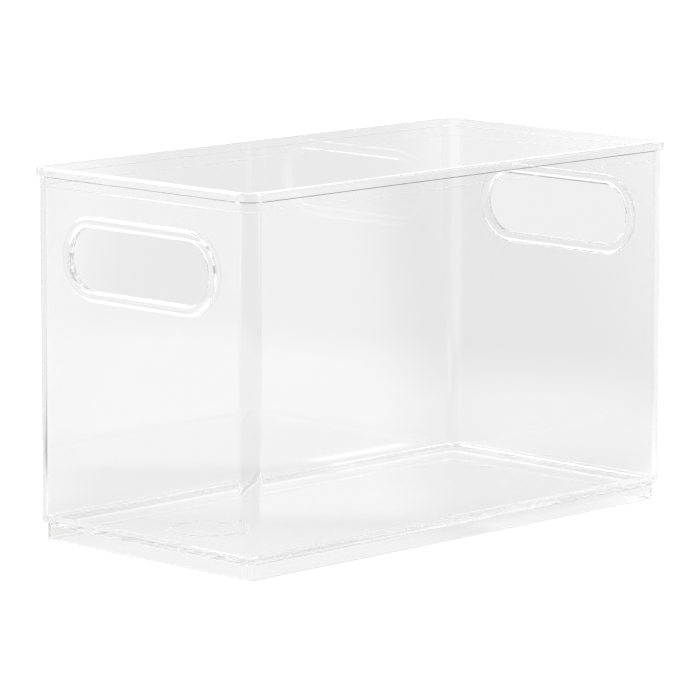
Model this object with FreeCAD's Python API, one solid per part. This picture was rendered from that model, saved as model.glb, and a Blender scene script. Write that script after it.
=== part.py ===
import FreeCAD, Part
import os

# A clear deep storage bin for a fridge shelf, injection moulded in one piece.
#
# Frame: millimetres, +Z up, +X along the long side. The origin is the centre of the footprint,
# on the surface that the bin stands on.
#
# The whole moulding is modelled first. It is then cut into abutting zones, one per node: the
# floor, four corner posts, and on each side a foot rail, a wall and a rim rail. The lip round
# each hand slot and the mark on the floor are nodes of their own. No two zones overlap.

# Driving dimensions
HEIGHT = 200.0                    # underside of the foot to the top of the rim
WALL_LENGTH = 320.0               # over the outsides of the two end walls
WALL_WIDTH = 163.0                # over the outsides of the two long walls
WALL_RADIUS = 9.0                 # outside radius of the four upright corners
WALL_THICKNESS = 2.6

LEDGE_DROP = 10.0                 # top of the rim down to the ledge inside the mouth
LEDGE_STEP = 0.5                  # how much thinner the wall is above the ledge

RIM_DEPTH = 4.8                   # height of the band round the mouth
RIM_OVERHANG = 2.0                # how far the band stands out of the wall
RIM_ROUNDING = 1.4

FOOT_HEIGHT = 10.0                # the stacking foot, set in to drop into another bin's mouth
FOOT_INSET = 3.2
FOOT_RADIUS = 4.2
FOOT_THICKNESS = 2.5
FOOT_ROUNDING = 1.2

FLOOR_TOP = 10.6
FLOOR_THICKNESS = 2.6
FLOOR_FILLET = 4.0                # rounding between the floor and the walls

SLOT_LENGTH = 104.5               # the hand slot through each end wall
SLOT_HEIGHT = 33.4
SLOT_CENTRE_Z = 155.2

LIP_WIDTH = 5.6                   # the raised lip round each slot
LIP_PROUD = 1.9
LIP_ROUNDING = 1.2
SLOT_INNER_ROUNDING = 0.8         # on the slot's edge inside the bin

MARK_RADIUS = 20.0                # a plain raised ring on the floor, near the left end
MARK_LINE = 1.2
MARK_RELIEF = 0.4
MARK_FROM_CENTRE = 112.0

CORNER_SPAN = 12.0                # how far a corner post reaches along each wall
MARGIN = 10.0                     # how far a cutting block runs past the shape it cuts
TOLERANCE = 1e-3

# Worked out from the driving dimensions
FOOT_LENGTH = WALL_LENGTH - 2 * FOOT_INSET
FOOT_WIDTH = WALL_WIDTH - 2 * FOOT_INSET
RECESS_LENGTH = FOOT_LENGTH - 2 * FOOT_THICKNESS
RECESS_WIDTH = FOOT_WIDTH - 2 * FOOT_THICKNESS
CAVITY_LENGTH = WALL_LENGTH - 2 * WALL_THICKNESS
CAVITY_WIDTH = WALL_WIDTH - 2 * WALL_THICKNESS
CAVITY_RADIUS = WALL_RADIUS - WALL_THICKNESS
RIM_UNDERSIDE = HEIGHT - RIM_DEPTH
LEDGE_Z = HEIGHT - LEDGE_DROP
OUTER_X = WALL_LENGTH / 2 + RIM_OVERHANG + MARGIN
OUTER_Y = WALL_WIDTH / 2 + RIM_OVERHANG + MARGIN
POST_X = WALL_LENGTH / 2 - CORNER_SPAN
POST_Y = WALL_WIDTH / 2 - CORNER_SPAN
LIP_OUTER_X = -WALL_LENGTH / 2 - LIP_PROUD
LIP_INNER_X = -WALL_LENGTH / 2 + WALL_THICKNESS


def box(low, high):
    """A block between two opposite corners."""
    size = [high[i] - low[i] for i in range(3)]
    return Part.makeBox(size[0], size[1], size[2], FreeCAD.Vector(*low))


def edges_at(shape, z):
    """The edges that lie flat at one height."""
    found = []
    for edge in shape.Edges:
        span = edge.BoundBox
        if abs(span.ZMin - z) < TOLERANCE and abs(span.ZMax - z) < TOLERANCE:
            found.append(edge)
    return found


def edges_across(shape, x):
    """The edges that lie in one plane across X."""
    found = []
    for edge in shape.Edges:
        span = edge.BoundBox
        if abs(span.XMin - x) < TOLERANCE and abs(span.XMax - x) < TOLERANCE:
            found.append(edge)
    return found


def rounded_block(length, width, radius, bottom, top):
    """A centred block with four rounded upright edges."""
    block = box((-length / 2, -width / 2, bottom), (length / 2, width / 2, top))
    upright = [edge for edge in block.Edges if edge.BoundBox.ZLength > top - bottom - TOLERANCE]
    return block.makeFillet(radius, upright)


def slot_block(length, height, start_x, end_x):
    """A block along X whose outline is a straight slot with round ends, at the hand slot."""
    radius = height / 2
    straight = length / 2 - radius
    depth = end_x - start_x
    middle = box((start_x, -straight, SLOT_CENTRE_Z - radius),
                 (end_x, straight, SLOT_CENTRE_Z + radius))
    ends = []
    for side in (-1, 1):
        centre = FreeCAD.Vector(start_x, side * straight, SLOT_CENTRE_Z)
        ends.append(Part.makeCylinder(radius, depth, centre, FreeCAD.Vector(1, 0, 0)))
    return middle.fuse(ends).removeSplitter()


def outside():
    """The bin as if it were solid: foot, body and rim band."""
    foot = rounded_block(FOOT_LENGTH, FOOT_WIDTH, FOOT_RADIUS, 0, FOOT_HEIGHT + FLOOR_THICKNESS)
    foot = foot.makeFillet(FOOT_ROUNDING, edges_at(foot, 0))
    body = rounded_block(WALL_LENGTH, WALL_WIDTH, WALL_RADIUS, FOOT_HEIGHT, HEIGHT - RIM_ROUNDING)
    rim_length = WALL_LENGTH + 2 * RIM_OVERHANG
    rim_width = WALL_WIDTH + 2 * RIM_OVERHANG
    rim = rounded_block(rim_length, rim_width, WALL_RADIUS + RIM_OVERHANG, RIM_UNDERSIDE, HEIGHT)
    rim = rim.makeFillet(RIM_ROUNDING, edges_at(rim, HEIGHT))
    return body.fuse([foot, rim]).removeSplitter()


def inside():
    """The space that the bin holds, with the wider mouth above the ledge."""
    cavity = rounded_block(CAVITY_LENGTH, CAVITY_WIDTH, CAVITY_RADIUS, FLOOR_TOP, HEIGHT + MARGIN)
    cavity = cavity.makeFillet(FLOOR_FILLET, edges_at(cavity, FLOOR_TOP))
    mouth = rounded_block(CAVITY_LENGTH + 2 * LEDGE_STEP, CAVITY_WIDTH + 2 * LEDGE_STEP,
                          CAVITY_RADIUS + LEDGE_STEP, LEDGE_Z, HEIGHT + MARGIN)
    return cavity.fuse(mouth).removeSplitter()


def underside():
    """The hollow inside the foot, under the floor."""
    return rounded_block(RECESS_LENGTH, RECESS_WIDTH, FOOT_RADIUS - FOOT_THICKNESS, -MARGIN,
                         FLOOR_TOP - FLOOR_THICKNESS)


def left_lip_blank():
    """The left lip's outer shape, through the wall and standing out of it, with no slot yet."""
    return slot_block(SLOT_LENGTH + 2 * LIP_WIDTH, SLOT_HEIGHT + 2 * LIP_WIDTH,
                      LIP_OUTER_X, LIP_INNER_X)


def left_lip():
    """The ring round the left hand slot, with every edge that a hand meets rounded."""
    ring = left_lip_blank().cut(slot_block(SLOT_LENGTH, SLOT_HEIGHT, LIP_OUTER_X, LIP_INNER_X))
    ring = ring.makeFillet(LIP_ROUNDING, edges_across(ring, LIP_OUTER_X))
    slot_top = SLOT_CENTRE_Z + SLOT_HEIGHT / 2
    inner_edges = []
    for edge in edges_across(ring, LIP_INNER_X):
        if edge.BoundBox.ZMax < slot_top + TOLERANCE:
            if edge.BoundBox.ZMin > SLOT_CENTRE_Z - SLOT_HEIGHT / 2 - TOLERANCE:
                inner_edges.append(edge)
    return ring.makeFillet(SLOT_INNER_ROUNDING, inner_edges)


def mirrored(shape):
    """The same shape at the other end of the bin."""
    return shape.mirror(FreeCAD.Vector(0, 0, 0), FreeCAD.Vector(1, 0, 0))


def floor_mark():
    """A plain raised ring that stands on the floor."""
    centre = FreeCAD.Vector(-MARK_FROM_CENTRE, 0, FLOOR_TOP)
    disc = Part.makeCylinder(MARK_RADIUS, MARK_RELIEF, centre)
    return disc.cut(Part.makeCylinder(MARK_RADIUS - MARK_LINE, MARK_RELIEF, centre))


def floor_block():
    """The cutting block for the floor slab, out to the inside of the foot."""
    return box((-RECESS_LENGTH / 2, -RECESS_WIDTH / 2, FLOOR_TOP - FLOOR_THICKNESS),
               (RECESS_LENGTH / 2, RECESS_WIDTH / 2, FLOOR_TOP))


def foot_block():
    """The cutting block that parts the foot from the shoulder above it."""
    return box((-FOOT_LENGTH / 2, -FOOT_WIDTH / 2, 0), (FOOT_LENGTH / 2, FOOT_WIDTH / 2, FLOOR_TOP))


def post_block(side_x, side_y):
    """The cutting block for one corner, from the foot to the rim."""
    xs = sorted((side_x * POST_X, side_x * OUTER_X))
    ys = sorted((side_y * POST_Y, side_y * OUTER_Y))
    return box((xs[0], ys[0], 0), (xs[1], ys[1], HEIGHT))


def side_blocks():
    """Cutting blocks for the rails and walls of the four sides, by the node's name."""
    inner_x = CAVITY_LENGTH / 2 - FLOOR_FILLET
    inner_y = CAVITY_WIDTH / 2 - FLOOR_FILLET
    spans = {
        "front": ((-POST_X, -OUTER_Y), (POST_X, -inner_y)),
        "back": ((-POST_X, inner_y), (POST_X, OUTER_Y)),
        "left": ((-OUTER_X, -POST_Y), (-inner_x, POST_Y)),
        "right": ((inner_x, -POST_Y), (OUTER_X, POST_Y)),
    }
    levels = {
        "foot_rail": (0, FLOOR_TOP),
        "wall": (FOOT_HEIGHT, RIM_UNDERSIDE),
        "rim_rail": (RIM_UNDERSIDE, HEIGHT),
    }
    blocks = {}
    for side, (low, high) in spans.items():
        for level, (bottom, top) in levels.items():
            blocks[side + "_" + level] = box((*low, bottom), (*high, top))
    return blocks


def zones():
    """Every node's shape, by the node's name."""
    moulding = outside().cut(inside()).cut(underside())
    nodes = {"floor_panel": moulding.common(floor_block())}
    around_floor = moulding.cut(floor_block())

    for side_y, y_name in ((-1, "front"), (1, "back")):
        for side_x, x_name in ((-1, "left"), (1, "right")):
            name = y_name + "_" + x_name + "_corner_post"
            nodes[name] = around_floor.common(post_block(side_x, side_y))

    for name, block in side_blocks().items():
        nodes[name] = around_floor.common(block)
        if name.endswith("foot_rail"):
            nodes[name] = nodes[name].common(foot_block())
        if name.endswith("wall"):
            nodes[name] = nodes[name].cut(foot_block())

    nodes["left_wall"] = nodes["left_wall"].cut(left_lip_blank())
    nodes["right_wall"] = nodes["right_wall"].cut(mirrored(left_lip_blank()))
    nodes["left_slot_lip"] = left_lip()
    nodes["right_slot_lip"] = mirrored(left_lip())
    nodes["floor_mark"] = floor_mark()
    return nodes


def main():
    os.makedirs("parts", exist_ok=True)
    for name, shape in zones().items():
        clean = shape.removeSplitter()
        if len(clean.Solids) != 1 or not clean.isValid():
            raise RuntimeError(name + " is not one valid solid")
        clean.Solids[0].exportStep("parts/" + name + ".step")


main()
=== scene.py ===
import bpy
import bmesh
import math
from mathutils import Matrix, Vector


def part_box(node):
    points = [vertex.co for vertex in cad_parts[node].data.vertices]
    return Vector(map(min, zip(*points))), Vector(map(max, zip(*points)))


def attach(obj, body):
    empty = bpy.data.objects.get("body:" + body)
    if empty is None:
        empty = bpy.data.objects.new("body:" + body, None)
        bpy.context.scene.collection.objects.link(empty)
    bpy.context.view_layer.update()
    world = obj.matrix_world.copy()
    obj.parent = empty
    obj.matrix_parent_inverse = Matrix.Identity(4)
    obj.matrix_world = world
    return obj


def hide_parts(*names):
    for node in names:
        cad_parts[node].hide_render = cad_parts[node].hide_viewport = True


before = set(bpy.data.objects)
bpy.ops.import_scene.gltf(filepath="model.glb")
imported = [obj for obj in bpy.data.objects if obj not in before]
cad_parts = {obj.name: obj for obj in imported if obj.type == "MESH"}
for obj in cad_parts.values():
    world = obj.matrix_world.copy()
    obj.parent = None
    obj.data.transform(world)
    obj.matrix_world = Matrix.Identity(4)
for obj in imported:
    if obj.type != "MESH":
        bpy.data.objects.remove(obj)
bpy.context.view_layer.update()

# A clear fridge bin, moulded in one piece. The whole moulding is one closed mesh, because faces
# between zones inside clear plastic would show. Its outer sizes are read from the frame's nodes.
# The thicknesses, radii and small roundings are given here. Lengths are in metres.

MM = 0.001
WALL_THICKNESS = 2.6 * MM
WALL_RADIUS = 9.0 * MM            # of the upright corners, outside
LEDGE_DROP = 10.0 * MM            # from the rim's top to the ledge inside the mouth
LEDGE_STEP = 0.5 * MM
RIM_ROUNDING = 1.4 * MM
RIM_UNDERCUT = 9.0                # degrees by which the rim's underside rises towards the wall
RIM_EDGE = 0.08 * MM              # on the rim's lower edge, where the mould parts
FOOT_RADIUS = 4.2 * MM            # of the foot's upright corners, outside
FOOT_THICKNESS = 2.5 * MM
FOOT_ROUNDING = 1.2 * MM
FLOOR_FILLET = 4.0 * MM
SLOT_LENGTH = 104.5 * MM
SLOT_INNER_ROUNDING = 0.8 * MM
LIP_SHOULDER = 0.6 * MM           # the upright part of the lip, below its crown
MARK_LINE = 1.2 * MM              # width of the ring's raised line
FINE_ROUNDING = 0.35 * MM         # on corners that the mould leaves almost sharp
WALL_SPAN = 0.1                   # a run of the profile taller than this is a wall's flat face

# Segments that the roundings are divided into.
CORNER_STEPS = 16                 # round an upright corner
SLOT_STEPS = 36                   # round each end of a slot
LIP_STEPS = 20                    # over a lip's crown
MARK_STEPS = 96                   # round the ring in the floor
MARK_EDGE_STEPS = 3               # over each edge of the ring's line
FINE_STEPS = 4                    # over a fine rounding
RIM_EDGE_STEPS = 5                # over the rim's lower edge and the mouth's
SHOULDER_STEPS = 6                # over the shoulder's edge and a slot's inner edge
ROUND_STEPS = 8                   # over the foot's and the rim's roundings
FILLET_STEPS = 12                 # over the fillet round the floor

CAMERA_PLACE = (-1.87487, -1.83987, 0.52100)
CAMERA_TARGET = (-0.00328, 0.00172, 0.09305)
LENS = 253.3                      # millimetres, as is the sensor's width
SENSOR = 36.0
CLIP_END = 50


class Sizes:
    """The moulding's sizes, from the boxes of the frame's nodes."""

    def __init__(self):
        wall_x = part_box("left_wall")[0].x
        wall_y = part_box("front_wall")[0].y
        foot_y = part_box("front_foot_rail")[0].y
        rim_low, rim_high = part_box("front_rim_rail")
        floor_low, floor_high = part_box("floor_panel")
        lip_low, lip_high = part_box("left_slot_lip")
        mark_low, mark_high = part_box("floor_mark")
        self.half_x = -wall_x
        self.half_y = -wall_y
        self.foot_inset = foot_y - wall_y
        self.shoulder_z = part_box("front_wall")[0].z
        self.rim_overhang = wall_y - rim_low.y
        self.rim_z = rim_low.z
        self.top = rim_high.z
        self.under_floor = floor_low.z
        self.floor = floor_high.z
        self.lip_proud = wall_x - lip_low.x
        self.slot_z = (lip_low.z + lip_high.z) / 2
        self.lip_half_height = (lip_high.z - lip_low.z) / 2
        self.lip_width = (lip_high.y - lip_low.y - SLOT_LENGTH) / 2
        self.mark_centre = (mark_low + mark_high) / 2
        self.mark_radius = (mark_high.x - mark_low.x) / 2
        self.mark_relief = mark_high.z - mark_low.z


SIZE = Sizes()


def rounding(centre, radius, start, end, steps):
    """Points along a rounded edge of a profile: (across, up, normal across, normal up).

    The angles are in degrees from the first axis. A negative radius gives a hollow rounding,
    whose normals point at its centre."""
    reach = abs(radius)
    facing = 1 if radius > 0 else -1
    points = []
    for i in range(steps + 1):
        angle = math.radians(start + (end - start) * i / steps)
        turn_across, turn_up = math.cos(angle), math.sin(angle)
        points.append((centre[0] + reach * turn_across, centre[1] + reach * turn_up,
                       facing * turn_across, facing * turn_up))
    return points


def foot_profile():
    """The foot, from under the floor round to the corner under the shoulder.

    Across is measured outwards from the wall's outer face, so that inwards is negative."""
    fine = FINE_ROUNDING
    foot = -SIZE.foot_inset
    recess = foot - FOOT_THICKNESS
    points = rounding((recess - fine, SIZE.under_floor - fine), -fine, 90, 0, FINE_STEPS)
    points += rounding((recess + fine, fine), fine, 180, 270, FINE_STEPS)
    points += rounding((foot - FOOT_ROUNDING, FOOT_ROUNDING), FOOT_ROUNDING, 270, 360, ROUND_STEPS)
    points += rounding((foot + fine, SIZE.shoulder_z - fine), -fine, 180, 90, FINE_STEPS)
    return points


def outer_profile():
    """The outside, from the shoulder up over the rim to the mouth's inner edge."""
    fine = FINE_ROUNDING
    shoulder = FINE_ROUNDING * 2
    rim = SIZE.rim_overhang
    mouth = LEDGE_STEP - WALL_THICKNESS
    # The underside is a straight slope, tangent to the rim's edge and to the hollow corner at
    # the wall. The top of that corner follows from the slope.
    slope = math.radians(RIM_UNDERCUT)
    slope_reach = rim - (RIM_EDGE + fine) * (1 + math.sin(slope))
    corner_z = (SIZE.rim_z + (RIM_EDGE + fine) * (1 - math.cos(slope))
                + slope_reach * math.tan(slope))
    points = rounding((-shoulder, SIZE.shoulder_z + shoulder), shoulder, 270, 360, SHOULDER_STEPS)
    points += rounding((fine, corner_z - fine), -fine, 180, 90 - RIM_UNDERCUT, FINE_STEPS)
    points += rounding((rim - RIM_EDGE, SIZE.rim_z + RIM_EDGE), RIM_EDGE,
                       270 - RIM_UNDERCUT, 360, RIM_EDGE_STEPS)
    points += rounding((rim - RIM_ROUNDING, SIZE.top - RIM_ROUNDING), RIM_ROUNDING,
                       0, 90, ROUND_STEPS)
    points += rounding((mouth + fine, SIZE.top - fine), fine, 90, 180, RIM_EDGE_STEPS)
    return points


def inner_profile():
    """The inside, from the mouth down over the ledge to the edge of the floor."""
    mouth = LEDGE_STEP - WALL_THICKNESS
    wall = -WALL_THICKNESS
    ledge = SIZE.top - LEDGE_DROP
    half_step = LEDGE_STEP / 2
    points = rounding((mouth - half_step, ledge + half_step), -half_step, 0, -90, FINE_STEPS)
    points += rounding((wall + half_step, ledge - half_step), half_step, 90, 180, FINE_STEPS)[1:]
    points += rounding((wall - FLOOR_FILLET, SIZE.floor + FLOOR_FILLET), -FLOOR_FILLET,
                       0, -90, FILLET_STEPS)
    return points


class Skin:
    """A mesh under construction, with an exact normal for every vertex."""

    def __init__(self):
        self.mesh = bmesh.new()
        self.normals = []

    def vertex(self, place, normal):
        self.normals.append(Vector(normal).normalized())
        return self.mesh.verts.new(place)

    def face(self, corners):
        self.mesh.faces.new(corners)

    def bridge(self, first, second, skip=()):
        """Quads between two closed loops of the same length."""
        count = len(first)
        for i in range(count):
            if i not in skip:
                j = (i + 1) % count
                self.face((first[i], first[j], second[j], second[i]))

    def fill(self, loops, normal):
        """Flat triangles inside the first loop and outside the others."""
        edges = []
        for loop in loops:
            for i, corner in enumerate(loop):
                pair = (corner, loop[(i + 1) % len(loop)])
                edges.append(self.mesh.edges.get(pair) or self.mesh.edges.new(pair))
        bmesh.ops.triangle_fill(self.mesh, use_beauty=True, edges=edges, normal=normal)


# The plan's corners, in the order that its loops go round, and the edges of a loop that lie
# along the left and the right end wall.
QUARTERS = ((1, 1), (-1, 1), (-1, -1), (1, -1))
LEFT_SIDE = 2 * (CORNER_STEPS + 1) - 1
RIGHT_SIDE = 4 * (CORNER_STEPS + 1) - 1


def plan_loop(skin, point, wall_radius):
    """One closed loop through a point of the profile, round the plan's rounded rectangle."""
    across, up, normal_across, normal_up = point
    radius = wall_radius + across
    reach_x = SIZE.half_x + across - radius
    reach_y = SIZE.half_y + across - radius
    loop = []
    for quarter, (side_x, side_y) in enumerate(QUARTERS):
        for i in range(CORNER_STEPS + 1):
            angle = math.radians(90 * (quarter + i / CORNER_STEPS))
            turn_x, turn_y = math.cos(angle), math.sin(angle)
            place = (side_x * reach_x + radius * turn_x, side_y * reach_y + radius * turn_y, up)
            normal = (normal_across * turn_x, normal_across * turn_y, normal_up)
            loop.append(skin.vertex(place, normal))
    return loop


def lip_profile():
    """A slot's lip and edge: (across, out, normal across, normal out).

    Across is measured away from the slot, and out from the wall's outer face. The lip is a
    low bead with a crowned face."""
    fine = FINE_ROUNDING
    half_width = SIZE.lip_width / 2
    rise = SIZE.lip_proud - LIP_SHOULDER
    inner = SLOT_INNER_ROUNDING
    points = rounding((SIZE.lip_width + fine, fine), -fine, 270, 180, FINE_STEPS)
    for i in range(LIP_STEPS + 1):
        angle = math.pi * i / LIP_STEPS
        across, out = math.cos(angle), math.sin(angle)
        points.append((half_width * (1 + across), LIP_SHOULDER + rise * out,
                       across * rise, out * half_width))
    points += rounding((inner, inner - WALL_THICKNESS), inner, 180, 270, SHOULDER_STEPS)
    return points


def slot_loop(skin, side, point):
    """One closed loop round a slot, on the end wall of that side."""
    across, out, normal_across, normal_out = point
    slot_radius = SIZE.lip_half_height - SIZE.lip_width
    radius = slot_radius + across
    straight = SLOT_LENGTH / 2 - slot_radius
    loop = []
    for end, centre_y in enumerate((straight, -straight)):
        for i in range(SLOT_STEPS + 1):
            angle = math.radians(180 * (end + i / SLOT_STEPS) - 90)
            turn_y, turn_z = math.cos(angle), math.sin(angle)
            place = (side * (SIZE.half_x + out), centre_y + radius * turn_y,
                     SIZE.slot_z + radius * turn_z)
            normal = (side * normal_out, normal_across * turn_y, normal_across * turn_z)
            loop.append(skin.vertex(place, normal))
    return loop


def window(skin, side, outer_frame, inner_frame):
    """An end wall's two flat faces, with the slot's lip between them."""
    loops = [slot_loop(skin, side, point) for point in lip_profile()]
    for first, second in zip(loops, loops[1:]):
        skin.bridge(first, second)
    skin.fill([outer_frame, loops[0]], (side, 0, 0))
    skin.fill([inner_frame, loops[-1]], (-side, 0, 0))


def mark_loop(skin, point):
    """One closed loop round the mark on the floor."""
    across, up, normal_across, normal_up = point
    centre = SIZE.mark_centre
    loop = []
    for i in range(MARK_STEPS):
        angle = 2 * math.pi * i / MARK_STEPS
        turn_x, turn_y = math.cos(angle), math.sin(angle)
        place = (centre.x + across * turn_x, centre.y + across * turn_y, up)
        loop.append(skin.vertex(place, (normal_across * turn_x, normal_across * turn_y, normal_up)))
    return loop


def mark_profile():
    """The mark's raised line, from the floor outside it to the floor inside it."""
    soft = SIZE.mark_relief / 2
    outer = SIZE.mark_radius
    inner = outer - MARK_LINE
    middle = SIZE.floor + soft
    steps = MARK_EDGE_STEPS
    points = rounding((outer + soft, middle), -soft, 270, 180, steps)
    points += rounding((outer - soft, middle), soft, 0, 90, steps)[1:]
    points += rounding((inner + soft, middle), soft, 90, 180, steps)
    points += rounding((inner - soft, middle), -soft, 0, -90, steps)[1:]
    return points


def floor_top(skin, edge):
    """The floor's upper face, with the raised ring standing on it."""
    loops = [mark_loop(skin, point) for point in mark_profile()]
    for first, second in zip(loops, loops[1:]):
        skin.bridge(first, second)
    skin.fill([edge, loops[0]], (0, 0, 1))
    skin.fill([loops[-1]], (0, 0, 1))


def frame_corners(lower, upper, side):
    """The four corners of one end wall's flat face, between two loops of the profile."""
    after = (side + 1) % len(lower)
    return [lower[side], lower[after], upper[after], upper[side]]


def moulding():
    """The whole bin as one closed mesh."""
    skin = Skin()
    foot = foot_profile()
    points = foot + outer_profile() + inner_profile()
    loops = [plan_loop(skin, point, FOOT_RADIUS + SIZE.foot_inset) for point in foot]
    loops += [plan_loop(skin, point, WALL_RADIUS) for point in points[len(foot):]]
    outer_wall, inner_wall = [i for i in range(len(points) - 1)
                              if abs(points[i + 1][1] - points[i][1]) > WALL_SPAN]
    for i in range(len(loops) - 1):
        skip = (LEFT_SIDE, RIGHT_SIDE) if i in (outer_wall, inner_wall) else ()
        skin.bridge(loops[i], loops[i + 1], skip)
    for side, edge in ((-1, LEFT_SIDE), (1, RIGHT_SIDE)):
        window(skin, side, frame_corners(loops[outer_wall], loops[outer_wall + 1], edge),
               frame_corners(loops[inner_wall + 1], loops[inner_wall], edge))
    floor_top(skin, loops[-1])
    skin.fill([loops[0]], (0, 0, -1))
    bmesh.ops.recalc_face_normals(skin.mesh, faces=skin.mesh.faces[:])
    data = bpy.data.meshes.new("bin_moulding")
    skin.mesh.to_mesh(data)
    skin.mesh.free()
    data.polygons.foreach_set("use_smooth", [True] * len(data.polygons))
    data.normals_split_custom_set_from_vertices(skin.normals)
    piece = bpy.data.objects.new("bin_moulding", data)
    bpy.context.scene.collection.objects.link(piece)
    return piece


class Nodes:
    """Short calls for building a node tree."""

    def __init__(self, tree):
        self.tree = tree

    def add(self, kind, **settings):
        node = self.tree.nodes.new(kind)
        for name, value in settings.items():
            setattr(node, name, value)
        return node

    def put(self, socket, value):
        if isinstance(value, bpy.types.NodeSocket):
            self.tree.links.new(value, socket)
        else:
            socket.default_value = value

    def math(self, operation, *values):
        node = self.add("ShaderNodeMath", operation=operation)
        for socket, value in zip(node.inputs, values):
            self.put(socket, value)
        return node.outputs[0]

    def place(self, kind):
        """The shaded point in one kind of texture coordinate: (vector, x, y, z)."""
        vector = self.add("ShaderNodeTexCoord").outputs[kind]
        parts = self.add("ShaderNodeSeparateXYZ")
        self.put(parts.inputs[0], vector)
        return (vector, *parts.outputs)

    def step(self, value, start, end, low=0.0, high=1.0):
        """A smooth step from low at start to high at end."""
        node = self.add("ShaderNodeMapRange", interpolation_type="SMOOTHSTEP")
        for socket, number in zip(node.inputs, (value, start, end, low, high)):
            self.put(socket, number)
        return node.outputs[0]


def band(nodes, value, low, high, soft):
    """One inside a range of value, with soft edges."""
    rise = nodes.step(value, low - soft, low + soft)
    fall = nodes.step(value, high - soft, high + soft, 1.0, 0.0)
    return nodes.math("MULTIPLY", rise, fall)


def noise(nodes, place, scale, detail):
    """A cloudy pattern between 0 and 1, in patches about 1 / scale metres across."""
    pattern = nodes.add("ShaderNodeTexNoise")
    nodes.put(pattern.inputs["Vector"], place)
    nodes.put(pattern.inputs["Scale"], scale)
    nodes.put(pattern.inputs["Detail"], detail)
    return pattern.outputs["Fac"]


# The plastic and its surface. A pattern's scale is per metre, its detail is the noise's, and
# its relief is in metres.
PLASTIC_TINT = (0.956, 0.956, 0.956, 1)
PLASTIC_IOR = 1.55
WAVES_SCALE, WAVES_DETAIL, WAVES_RELIEF = 16.0, 1.0, 1.4e-5     # unevenness from the moulding
GRAIN_SCALE, GRAIN_DETAIL, GRAIN_RELIEF = 420.0, 2.0, 5e-7      # the mould's polish
SCUFF_SCALE = (18.0, 560.0, 560.0)                              # drawn out along the bin
SCUFF_DETAIL, SCUFF_RELIEF = 3.0, -4e-7
SCUFF_SPREAD = (0.66, 0.72)       # levels of the noise between which a scuff begins
CLOUD_SPREAD = (0.35, 0.65)       # levels of the waves between which the polish changes
CLEAR_ROUGHNESS = (0.006, 0.028)  # where the polish is best and worst
SCUFF_ROUGHNESS = 0.10
FOOT_ROUGHNESS = 0.12             # the lower part of the foot is finely textured
FOOT_TEXTURE = (6.4 * MM, 7.8 * MM)     # heights between which the texture fades out


def clear_plastic():
    """Clear, polished plastic, slightly uneven and scuffed, with a textured foot."""
    material = bpy.data.materials.new("clear_plastic")
    material.use_nodes = True
    nodes = Nodes(material.node_tree)
    place, _, _, up = nodes.place("Object")
    waves = noise(nodes, place, WAVES_SCALE, WAVES_DETAIL)
    grain = noise(nodes, place, GRAIN_SCALE, GRAIN_DETAIL)
    drawn_out = nodes.add("ShaderNodeVectorMath", operation="MULTIPLY")
    nodes.put(drawn_out.inputs[0], place)
    nodes.put(drawn_out.inputs[1], SCUFF_SCALE)
    scuffs = nodes.step(noise(nodes, drawn_out.outputs[0], 1.0, SCUFF_DETAIL), *SCUFF_SPREAD)

    cloudy = nodes.step(waves, *CLOUD_SPREAD, *CLEAR_ROUGHNESS)
    foot = nodes.step(up, *FOOT_TEXTURE, FOOT_ROUGHNESS, 0.0)
    worn = nodes.math("MULTIPLY", scuffs, SCUFF_ROUGHNESS)
    roughness = nodes.math("ADD", nodes.math("ADD", cloudy, worn), foot)

    height = nodes.math("MULTIPLY", waves, WAVES_RELIEF)
    for pattern, relief in ((grain, GRAIN_RELIEF), (scuffs, SCUFF_RELIEF)):
        height = nodes.math("ADD", height, nodes.math("MULTIPLY", pattern, relief))
    bump = nodes.add("ShaderNodeBump")
    nodes.put(bump.inputs["Strength"], 1.0)
    nodes.put(bump.inputs["Distance"], 1.0)
    nodes.put(bump.inputs["Height"], height)

    shader = material.node_tree.nodes["Principled BSDF"]
    nodes.put(shader.inputs["Base Color"], PLASTIC_TINT)
    nodes.put(shader.inputs["Transmission Weight"], 1.0)
    nodes.put(shader.inputs["IOR"], PLASTIC_IOR)
    nodes.put(shader.inputs["Roughness"], roughness)
    nodes.put(shader.inputs["Normal"], bump.outputs["Normal"])
    return material


# The sky's light is an even room and, round the object, soft panels that are lighter or darker
# than it: (bearing, half width, lowest, highest, softness, strength). The angles are in degrees,
# and the bearing is anticlockwise from +X.
ROOM = 0.7
DARKEST_SKY = 0.02
PANELS = (
    (45, 80, -90, 30, 12, 0.3),
    (45, 35, 3.0, 9.0, 1.5, 0.5),
    (36, 13, 28.0, 40.0, 3, -0.97),
    (60, 10, 28.0, 40.0, 3, -0.85),
    (122, 26, 14.5, 33, 2, 4.0),
    (-60, 18, 20, 65, 6, 3.0),
    (30, 40, 62, 84, 5, 5.0),
    (-135, 50, -90, 60, 12, -0.3),
)

FLOOR_REACH = 6.0                 # from its middle to its edges
FLOOR_GAP = 0.2 * MM              # so that the foot's underside never lies in the floor

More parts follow.
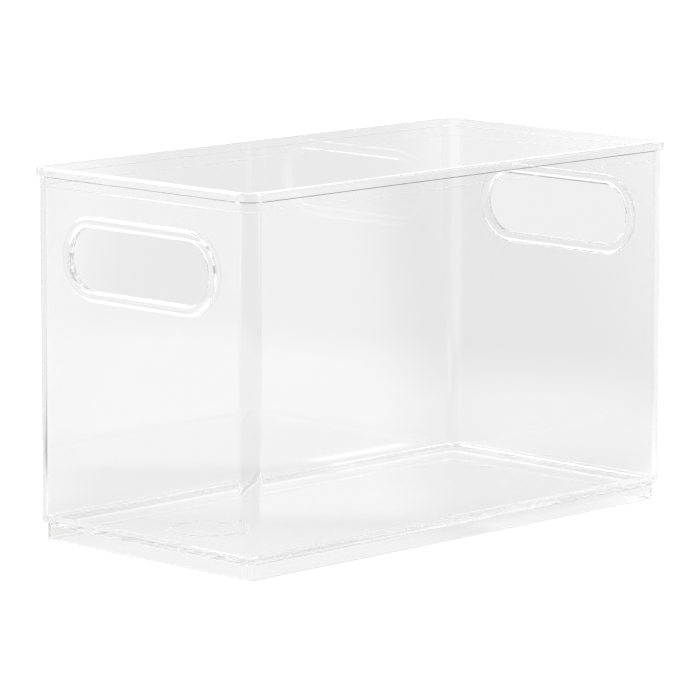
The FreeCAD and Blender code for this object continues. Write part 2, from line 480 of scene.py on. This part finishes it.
# The floor's light is an even glow with lighter and darker boxes, soft at their edges. A box has
# two coordinates, from the bin's middle: along, away from the camera (towards +X +Y), and aside,
# to the camera's right (towards +X -Y). A row is (lowest along, highest along, lowest aside,
# highest aside, softness, change).
FLOOR_GLOW = 0.9
POOLS = (
    (-0.078, 0.06, 0.57, 3.0, 0.08, -0.4),
    (0.06, 0.18, 0.48, 3.0, 0.08, -0.4),
    (-0.078, 0.06, 0.17, 0.53, 0.05, 0.2),
    (0.06, 0.18, 0.17, 0.45, 0.05, 0.2),
    (-0.26, -0.078, 0.12, 3.0, 0.03, 0.75),
    (-0.26, -0.02, -3.0, -0.25, 0.06, 0.75),
    (0.045, 0.18, -3.0, -0.31, 0.04, -0.45),
    (-3.0, -0.34, -3.0, 3.0, 0.08, 0.22),
    (-0.22, -0.04, -0.20, 0.20, 0.04, 0.12),
    (0.20, 3.0, 0.07, 3.0, 0.03, 0.06),
    (-0.16, 0.16, -0.16, 0.16, 0.02, -0.08),
)
# Two more, in (lowest x, highest x, lowest y, highest y, softness, change): a streak in front of
# the long wall, and the ground under that wall's foot.
STREAKS = (
    (0.105, 0.184, -0.305, -0.296, 0.003, 1.2),
    (0.030, 0.180, -0.086, -0.052, 0.012, 0.13),
)
SEEN_WHITE = 1.05                 # just over white, so that the floor and sky are plain


def seen_or_shed(nodes, shed):
    """White where it is looked at directly; everywhere else, the light that it sheds."""
    ray = nodes.add("ShaderNodeLightPath")
    mix = nodes.add("ShaderNodeMix", data_type="FLOAT")
    nodes.put(mix.inputs[0], ray.outputs["Is Camera Ray"])
    nodes.put(mix.inputs[2], shed)
    nodes.put(mix.inputs[3], SEEN_WHITE)
    return mix.outputs[0]


def sky(world):
    """The light round the object: a pale room with soft panels."""
    world.use_nodes = True
    nodes = Nodes(world.node_tree)
    _, x, y, z = nodes.place("Generated")
    bearing = nodes.math("DEGREES", nodes.math("ARCTAN2", y, x))
    height = nodes.math("DEGREES", nodes.math("ARCSINE", z))
    total = ROOM
    for centre, half, low, high, soft, strength in PANELS:
        away = nodes.math("WRAP", nodes.math("SUBTRACT", bearing, centre), 180.0, -180.0)
        across = nodes.step(nodes.math("ABSOLUTE", away), half - soft, half + soft, 1.0, 0.0)
        light = nodes.math("MULTIPLY", across, band(nodes, height, low, high, soft))
        total = nodes.math("ADD", total, nodes.math("MULTIPLY", light, strength))
    shed = nodes.math("MAXIMUM", total, DARKEST_SKY)
    background = world.node_tree.nodes["Background"]
    nodes.put(background.inputs["Color"], (1, 1, 1, 1))
    nodes.put(background.inputs["Strength"], seen_or_shed(nodes, shed))


def floor_glow(nodes):
    """The floor's light, as it falls on the bin."""
    _, x, y, _ = nodes.place("Object")
    along = nodes.math("MULTIPLY", nodes.math("ADD", x, y), math.sqrt(0.5))
    aside = nodes.math("MULTIPLY", nodes.math("SUBTRACT", x, y), math.sqrt(0.5))
    total = FLOOR_GLOW
    for (first, second), rows in (((along, aside), POOLS), ((x, y), STREAKS)):
        for first_low, first_high, second_low, second_high, soft, change in rows:
            box = nodes.math("MULTIPLY", band(nodes, first, first_low, first_high, soft),
                             band(nodes, second, second_low, second_high, soft))
            total = nodes.math("ADD", total, nodes.math("MULTIPLY", box, change))
    return total


def studio():
    """The pale floor and the sky, which light the object between them."""
    world = bpy.data.worlds.new("studio")
    bpy.context.scene.world = world
    sky(world)

    data = bpy.data.meshes.new("studio_floor")
    data.from_pydata([(-FLOOR_REACH, -FLOOR_REACH, 0), (FLOOR_REACH, -FLOOR_REACH, 0),
                      (FLOOR_REACH, FLOOR_REACH, 0), (-FLOOR_REACH, FLOOR_REACH, 0)],
                     [], [(0, 1, 2, 3)])
    floor = bpy.data.objects.new("studio_floor", data)
    floor.location.z = -FLOOR_GAP
    bpy.context.scene.collection.objects.link(floor)
    material = bpy.data.materials.new("studio_floor")
    material.use_nodes = True
    nodes = Nodes(material.node_tree)
    shader = material.node_tree.nodes["Principled BSDF"]
    nodes.put(shader.inputs["Base Color"], (0, 0, 0, 1))
    nodes.put(shader.inputs["Specular IOR Level"], 0.0)
    nodes.put(shader.inputs["Roughness"], 1.0)
    nodes.put(shader.inputs["Emission Color"], (1, 1, 1, 1))
    nodes.put(shader.inputs["Emission Strength"], seen_or_shed(nodes, floor_glow(nodes)))
    data.materials.append(material)


def camera():
    """A long lens, looking down a little over the front left corner."""
    data = bpy.data.cameras.new("camera")
    data.lens = LENS
    data.sensor_width = SENSOR
    data.clip_end = CLIP_END
    eye = bpy.data.objects.new("camera", data)
    bpy.context.scene.collection.objects.link(eye)
    eye.location = CAMERA_PLACE
    look = Vector(CAMERA_TARGET) - Vector(CAMERA_PLACE)
    eye.rotation_mode = "QUATERNION"
    eye.rotation_quaternion = look.to_track_quat("-Z", "Y")
    bpy.context.scene.camera = eye


scene = bpy.context.scene
scene.view_settings.view_transform = "Standard"
# Light that the plastic traps by total internal reflection needs a long path to get out again.
LIGHT_BOUNCES = 256
scene.cycles.max_bounces = LIGHT_BOUNCES
scene.cycles.transmission_bounces = LIGHT_BOUNCES
scene.cycles.glossy_bounces = LIGHT_BOUNCES

piece = moulding()
piece.data.materials.append(clear_plastic())
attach(piece, "root")
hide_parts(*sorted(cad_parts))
studio()
camera()
